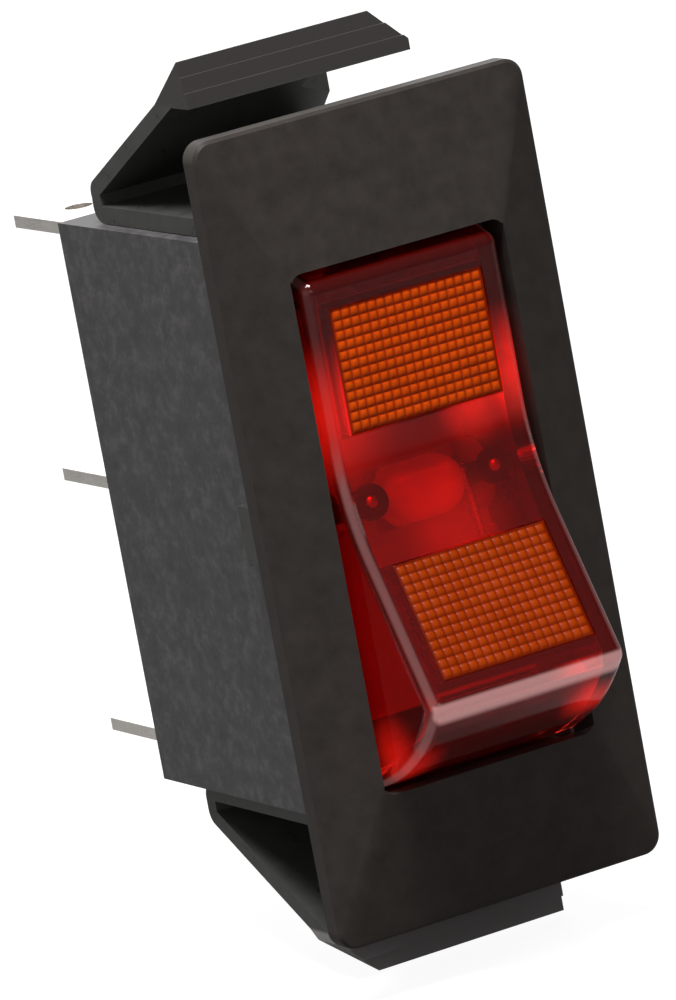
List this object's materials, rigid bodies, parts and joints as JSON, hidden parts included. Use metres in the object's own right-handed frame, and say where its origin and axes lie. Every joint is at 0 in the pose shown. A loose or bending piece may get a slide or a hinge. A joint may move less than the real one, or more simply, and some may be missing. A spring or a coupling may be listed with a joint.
{
  "type": "panel rocker switch",
  "caption": "Lighted on-off rocker switch with a clear red rocker, amber lens pads, a snap-in bezel with two wings and three flat quick-connect terminals",
  "frame": {"origin": "the centre of the bezel's back face, where it seats on the panel and where the panel's cut-out is centred", "axes": "+Z runs along the switch's length, +X across its width to the right as seen from the front, and +Y goes back through the panel, so the front faces -Y"},
  "size_m": [0.023, 0.0462, 0.0576],
  "materials": {
    "bezel": "fine matt black plastic, a little glossier on the wings",
    "body": "dull dark grey plastic",
    "rocker": "clear red plastic, polished",
    "lens": "amber plastic with a fine waffle grain",
    "carrier": "natural white plastic",
    "brass": "bright drawn brass",
    "lamp_glass": "clear thin glass",
    "lead": "plain nickel wire",
    "resistor": "tan lacquer",
    "plunger": "natural white plastic, smooth",
    "spring": "bright spring wire",
    "blade": "bright copper alloy",
    "contact": "fine silver, smooth",
    "terminal": "pale tinned brass"
  },
  "bodies": {
    "housing": {"bezel_bracket": "bezel", "switch_body": "body", "lamp_strip_left": "brass", "lamp_strip_right": "brass", "terminal_common": "terminal", "terminal_load": "terminal", "terminal_lamp": "terminal", "fixed_contact": "contact"},
    "rocker": {"rocker_cap": "rocker", "upper_lens_pad": "lens", "lower_lens_pad": "lens", "rocker_carrier": "carrier", "pivot_pin_left": "brass", "pivot_pin_right": "brass", "lamp_eyelet_left": "brass", "lamp_eyelet_right": "brass", "lamp_glass": "lamp_glass", "lamp_lead_left": "lead", "lamp_lead_right": "lead", "dropping_resistor": "resistor", "plunger_spring": "spring"},
    "plunger": {"plunger": "plunger"},
    "blade": {"contact_blade": "blade", "moving_contact": "contact"}
  },
  "joints": [
    {"name": "rocker_tilt", "type": "hinge", "parent": "housing", "child": "rocker", "pos_m": [0, 0.0033, 0], "axis": [1, 0, 0], "range_deg": [0, 29]},
    {"name": "blade_rock", "type": "hinge", "parent": "housing", "child": "blade", "pos_m": [0, 0.01065, 0], "axis": [1, 0, 0], "range_deg": [-8, 0]},
    {"name": "plunger_slide", "type": "slide", "parent": "rocker", "child": "plunger", "axis": [0, 0.9681, -0.2504], "range_m": [-0.0012, 0], "stiffness_N_per_m": 300, "springref_m": 0.003, "deforming": ["plunger_spring"]}
  ],
  "couplings": [
    {"joint": "blade_rock", "follows": "rocker_tilt", "ratio": -0.27586}
  ]
}
